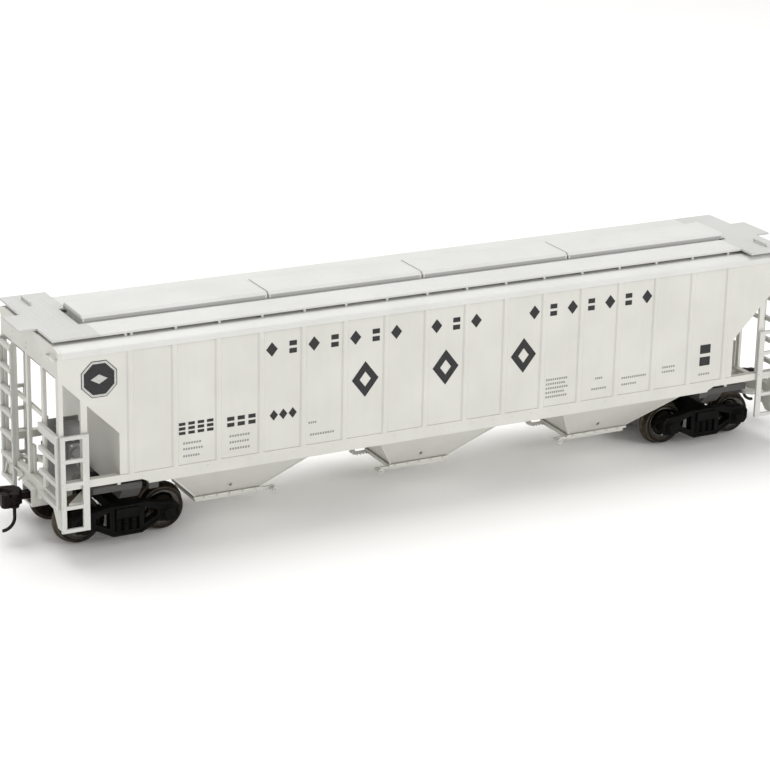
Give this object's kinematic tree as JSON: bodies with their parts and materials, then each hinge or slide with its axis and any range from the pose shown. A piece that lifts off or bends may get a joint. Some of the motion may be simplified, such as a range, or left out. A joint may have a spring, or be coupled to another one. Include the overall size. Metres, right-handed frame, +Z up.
{
  "type": "model hopper car",
  "caption": "Scale model of a three-bay covered hopper freight car on two swivelling four-wheel trucks, with swinging knuckle couplers.",
  "frame": {"origin": "under the middle of the car, on the surface that the wheel flanges stand on", "axes": "+X along the car to its brake-wheel end, +Y to the left of a person facing +X, +Z up"},
  "size_m": [0.2104, 0.0396, 0.0534],
  "materials": {
    "body_plastic": "satin light grey paint over moulded plastic",
    "roof_plastic": "satin light grey paint over moulded plastic",
    "detail_plastic": "satin light grey paint over thin moulded parts",
    "truck_plastic": "black engineering plastic",
    "wheel_metal": "turned and blackened metal with a worn tread",
    "axle_steel": "turned steel",
    "coupler_plastic": "dark brown-black engineering plastic",
    "pin_wire": "blackened wire",
    "screw_steel": "blackened machine screws",
    "ballast_steel": "plain steel strip",
    "print_ink": "thin black and grey printed shapes on the sides"
  },
  "bodies": {
    "car_body": {"air_reservoir": "detail_plastic", "board_brackets": "roof_plastic", "brake_bracket": "detail_plastic", "brake_cylinder": "detail_plastic", "brake_pipes": "detail_plastic", "brake_stand": "detail_plastic", "brake_wheel": "detail_plastic", "control_valve": "detail_plastic", "cover_screws": "screw_steel", "draft_box_a": "body_plastic", "draft_box_b": "body_plastic", "draft_covers": "body_plastic", "end_frame_a": "body_plastic", "end_frame_b": "body_plastic", "end_platform_a": "roof_plastic", "end_platform_b": "roof_plastic", "end_sill_a": "body_plastic", "end_sill_b": "body_plastic", "grab_irons": "detail_plastic", "hatch_cover_1": "roof_plastic", "hatch_cover_2": "roof_plastic", "hatch_cover_3": "roof_plastic", "hatch_cover_4": "roof_plastic", "hopper_bay_1": "body_plastic", "hopper_bay_2": "body_plastic", "hopper_bay_3": "body_plastic", "left_running_board": "roof_plastic", "left_side_sheet": "body_plastic", "low_end_ladders": "detail_plastic", "outlet_gate_1": "body_plastic", "outlet_gate_2": "body_plastic", "outlet_gate_3": "body_plastic", "right_running_board": "roof_plastic", "right_side_sheet": "body_plastic", "roof_panel": "roof_plastic", "side_ladders": "detail_plastic", "side_sills": "body_plastic", "slope_sheet_a": "body_plastic", "slope_sheet_b": "body_plastic", "tall_end_ladders": "detail_plastic", "truck_screws": "screw_steel", "underframe_a": "body_plastic", "underframe_b": "body_plastic", "weight_plate": "ballast_steel"},
    "truck_a": {"truck_frame_a": "truck_plastic"},
    "coupler_a": {"coupler_a": "coupler_plastic"},
    "knuckle_a": {"knuckle_a": "coupler_plastic", "trip_pin_a": "pin_wire"},
    "truck_b": {"truck_frame_b": "truck_plastic"},
    "coupler_b": {"coupler_b": "coupler_plastic"},
    "knuckle_b": {"knuckle_b": "coupler_plastic", "trip_pin_b": "pin_wire"},
    "wheelset_1": {"axle_1": "axle_steel", "wheels_1": "wheel_metal"},
    "wheelset_2": {"axle_2": "axle_steel", "wheels_2": "wheel_metal"},
    "wheelset_3": {"axle_3": "axle_steel", "wheels_3": "wheel_metal"},
    "wheelset_4": {"axle_4": "axle_steel", "wheels_4": "wheel_metal"}
  },
  "joints": [
    {"name": "truck_a_swivel", "type": "hinge", "parent": "car_body", "child": "truck_a", "pos_m": [-0.0792, 0, 0.0095], "axis": [0, 0, 1], "range_deg": [-8, 8]},
    {"name": "coupler_a_swing", "type": "hinge", "parent": "car_body", "child": "coupler_a", "pos_m": [-0.0912, 0, 0.0105], "axis": [0, 0, 1], "range_deg": [-11, 11]},
    {"name": "knuckle_a_open", "type": "hinge", "parent": "coupler_a", "child": "knuckle_a", "pos_m": [-0.1022, -0.0024, 0.0105], "axis": [0, 0, 1], "range_deg": [0, 20], "stiffness_Nm_per_rad": 0.002, "springref_deg": -17.19},
    {"name": "truck_b_swivel", "type": "hinge", "parent": "car_body", "child": "truck_b", "pos_m": [0.0792, 0, 0.0095], "axis": [0, 0, 1], "range_deg": [-8, 8]},
    {"name": "coupler_b_swing", "type": "hinge", "parent": "car_body", "child": "coupler_b", "pos_m": [0.0912, 0, 0.0105], "axis": [0, 0, 1], "range_deg": [-11, 11]},
    {"name": "knuckle_b_open", "type": "hinge", "parent": "coupler_b", "child": "knuckle_b", "pos_m": [0.1022, 0.0024, 0.0105], "axis": [0, 0, 1], "range_deg": [0, 20], "stiffness_Nm_per_rad": 0.002, "springref_deg": -17.19},
    {"name": "wheelset_1_spin", "type": "hinge", "parent": "truck_a", "child": "wheelset_1", "pos_m": [-0.0894, 0, 0.00585], "axis": [0, 1, 0], "continuous": true},
    {"name": "wheelset_2_spin", "type": "hinge", "parent": "truck_a", "child": "wheelset_2", "pos_m": [-0.069, 0, 0.00585], "axis": [0, 1, 0], "continuous": true},
    {"name": "wheelset_3_spin", "type": "hinge", "parent": "truck_b", "child": "wheelset_3", "pos_m": [0.069, 0, 0.00585], "axis": [0, 1, 0], "continuous": true},
    {"name": "wheelset_4_spin", "type": "hinge", "parent": "truck_b", "child": "wheelset_4", "pos_m": [0.0894, 0, 0.00585], "axis": [0, 1, 0], "continuous": true}
  ]
}
